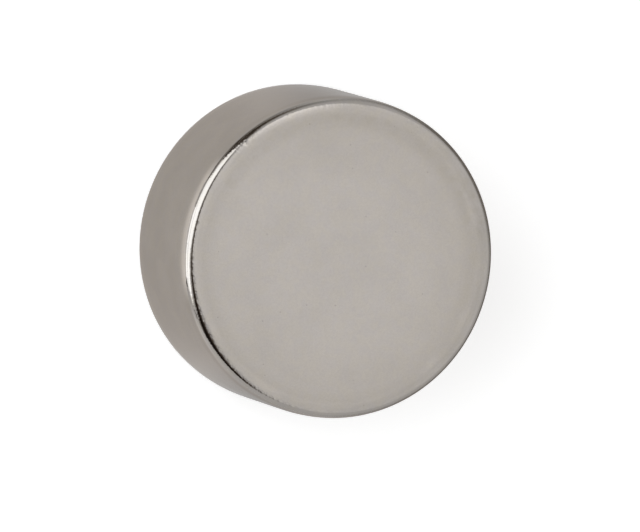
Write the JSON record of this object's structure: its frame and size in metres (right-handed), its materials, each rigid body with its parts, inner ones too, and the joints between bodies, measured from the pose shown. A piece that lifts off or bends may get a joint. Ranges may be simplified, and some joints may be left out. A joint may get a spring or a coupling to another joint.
{
  "type": "disc magnet",
  "caption": "Solid round disc magnet, half as tall as it is wide, with flat pole faces, softly tumbled edges and a satin nickel-plated finish.",
  "frame": {"origin": "centre of the lower pole face, which the magnet stands on", "axes": "+Z along the magnet's axis, from the lower pole face to the upper one; X and Y lie in the lower face, and the part is the same all round"},
  "size_m": [0.02, 0.02, 0.01],
  "materials": {
    "nickel_plating": "satin nickel plating over a sintered magnet, with barrel-tumbled edges"
  },
  "bodies": {
    "root": {"disc_magnet": "nickel_plating"}
  },
  "joints": []
}
